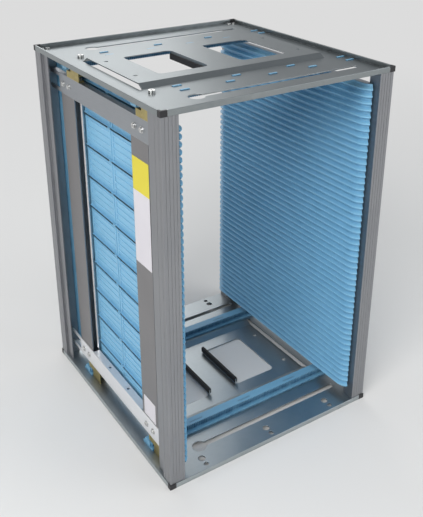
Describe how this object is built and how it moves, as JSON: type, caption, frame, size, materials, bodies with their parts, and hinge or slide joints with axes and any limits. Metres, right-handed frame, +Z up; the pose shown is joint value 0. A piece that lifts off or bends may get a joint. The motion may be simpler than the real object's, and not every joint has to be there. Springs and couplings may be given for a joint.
{
  "type": "circuit board magazine rack",
  "caption": "Open rack for circuit boards: slotted side walls between pressed end plates on corner columns; one wall slides along gear racks to suit the board width.",
  "frame": {"origin": "middle of the footprint, on the floor under the rims", "axes": "+X from the movable wall to the fixed wall, +Y from the open front to the open back, +Z up"},
  "size_m": [0.37, 0.39, 0.563],
  "materials": {
    "galvanised_plate": "galvanised, satin",
    "column_aluminium": "extruded, satin",
    "guide_plastic": "moulded, lightly glossy",
    "gear_rack_plastic": "moulded, lightly glossy",
    "cap_plastic": "moulded, matte",
    "guard_rubber": "matte",
    "side_frame_steel": "bright zinc, satin",
    "yellow_zinc": "yellow zinc passivated, satin",
    "bush_brass": "turned, satin",
    "shaft_steel": "ground",
    "screw_steel": "bright zinc",
    "yellow_film": "satin film",
    "white_film": "satin film"
  },
  "bodies": {
    "frame": {"bottom_plate": "galvanised_plate", "top_plate": "galvanised_plate", "corner_caps": "cap_plastic", "column_front_left": "column_aluminium", "column_front_right": "column_aluminium", "column_rear_left": "column_aluminium", "column_rear_right": "column_aluminium", "column_screws": "screw_steel", "gear_rack_bottom_front": "gear_rack_plastic", "gear_rack_bottom_rear": "gear_rack_plastic", "gear_rack_top_front": "gear_rack_plastic", "gear_rack_top_rear": "gear_rack_plastic", "gear_rack_screws": "screw_steel", "grip_guard_bottom_left": "guard_rubber", "grip_guard_bottom_right": "guard_rubber", "grip_guard_top_left": "guard_rubber", "grip_guard_top_right": "guard_rubber", "fixed_guide": "guide_plastic", "fixed_strip_front": "side_frame_steel", "fixed_strip_rear": "side_frame_steel", "fixed_crossbar_bottom": "side_frame_steel", "fixed_crossbar_top": "side_frame_steel", "fixed_wall_screws": "screw_steel"},
    "movable_wall": {"movable_guide": "guide_plastic", "wall_strip_front": "side_frame_steel", "wall_strip_rear": "side_frame_steel", "wall_crossbar_bottom": "side_frame_steel", "wall_crossbar_top": "side_frame_steel", "wall_screws": "screw_steel", "bracket_bottom_front": "yellow_zinc", "bracket_bottom_rear": "yellow_zinc", "bracket_top_front": "yellow_zinc", "bracket_top_rear": "yellow_zinc", "bracket_screws": "screw_steel", "shaft_bushes": "bush_brass", "yellow_label": "yellow_film", "white_label": "white_film", "small_label": "white_film"},
    "front_shaft": {"shaft_front": "shaft_steel", "pinion_front_bottom": "bush_brass", "pinion_front_top": "bush_brass"},
    "rear_shaft": {"shaft_rear": "shaft_steel", "pinion_rear_bottom": "bush_brass", "pinion_rear_top": "bush_brass"}
  },
  "joints": [
    {"name": "wall_slide", "type": "slide", "parent": "frame", "child": "movable_wall", "axis": [1, 0, 0], "range_m": [0, 0.25]},
    {"name": "front_shaft_turn", "type": "hinge", "parent": "movable_wall", "child": "front_shaft", "pos_m": [-0.158, -0.124, 0.2815], "axis": [0, 0, 1], "range_deg": [0, 1440]},
    {"name": "rear_shaft_turn", "type": "hinge", "parent": "movable_wall", "child": "rear_shaft", "pos_m": [-0.158, 0.09, 0.2815], "axis": [0, 0, 1], "range_deg": [0, 1440]}
  ],
  "couplings": [
    {"joint": "front_shaft_turn", "follows": "wall_slide", "rad_per_m": 100},
    {"joint": "rear_shaft_turn", "follows": "wall_slide", "rad_per_m": 100}
  ]
}
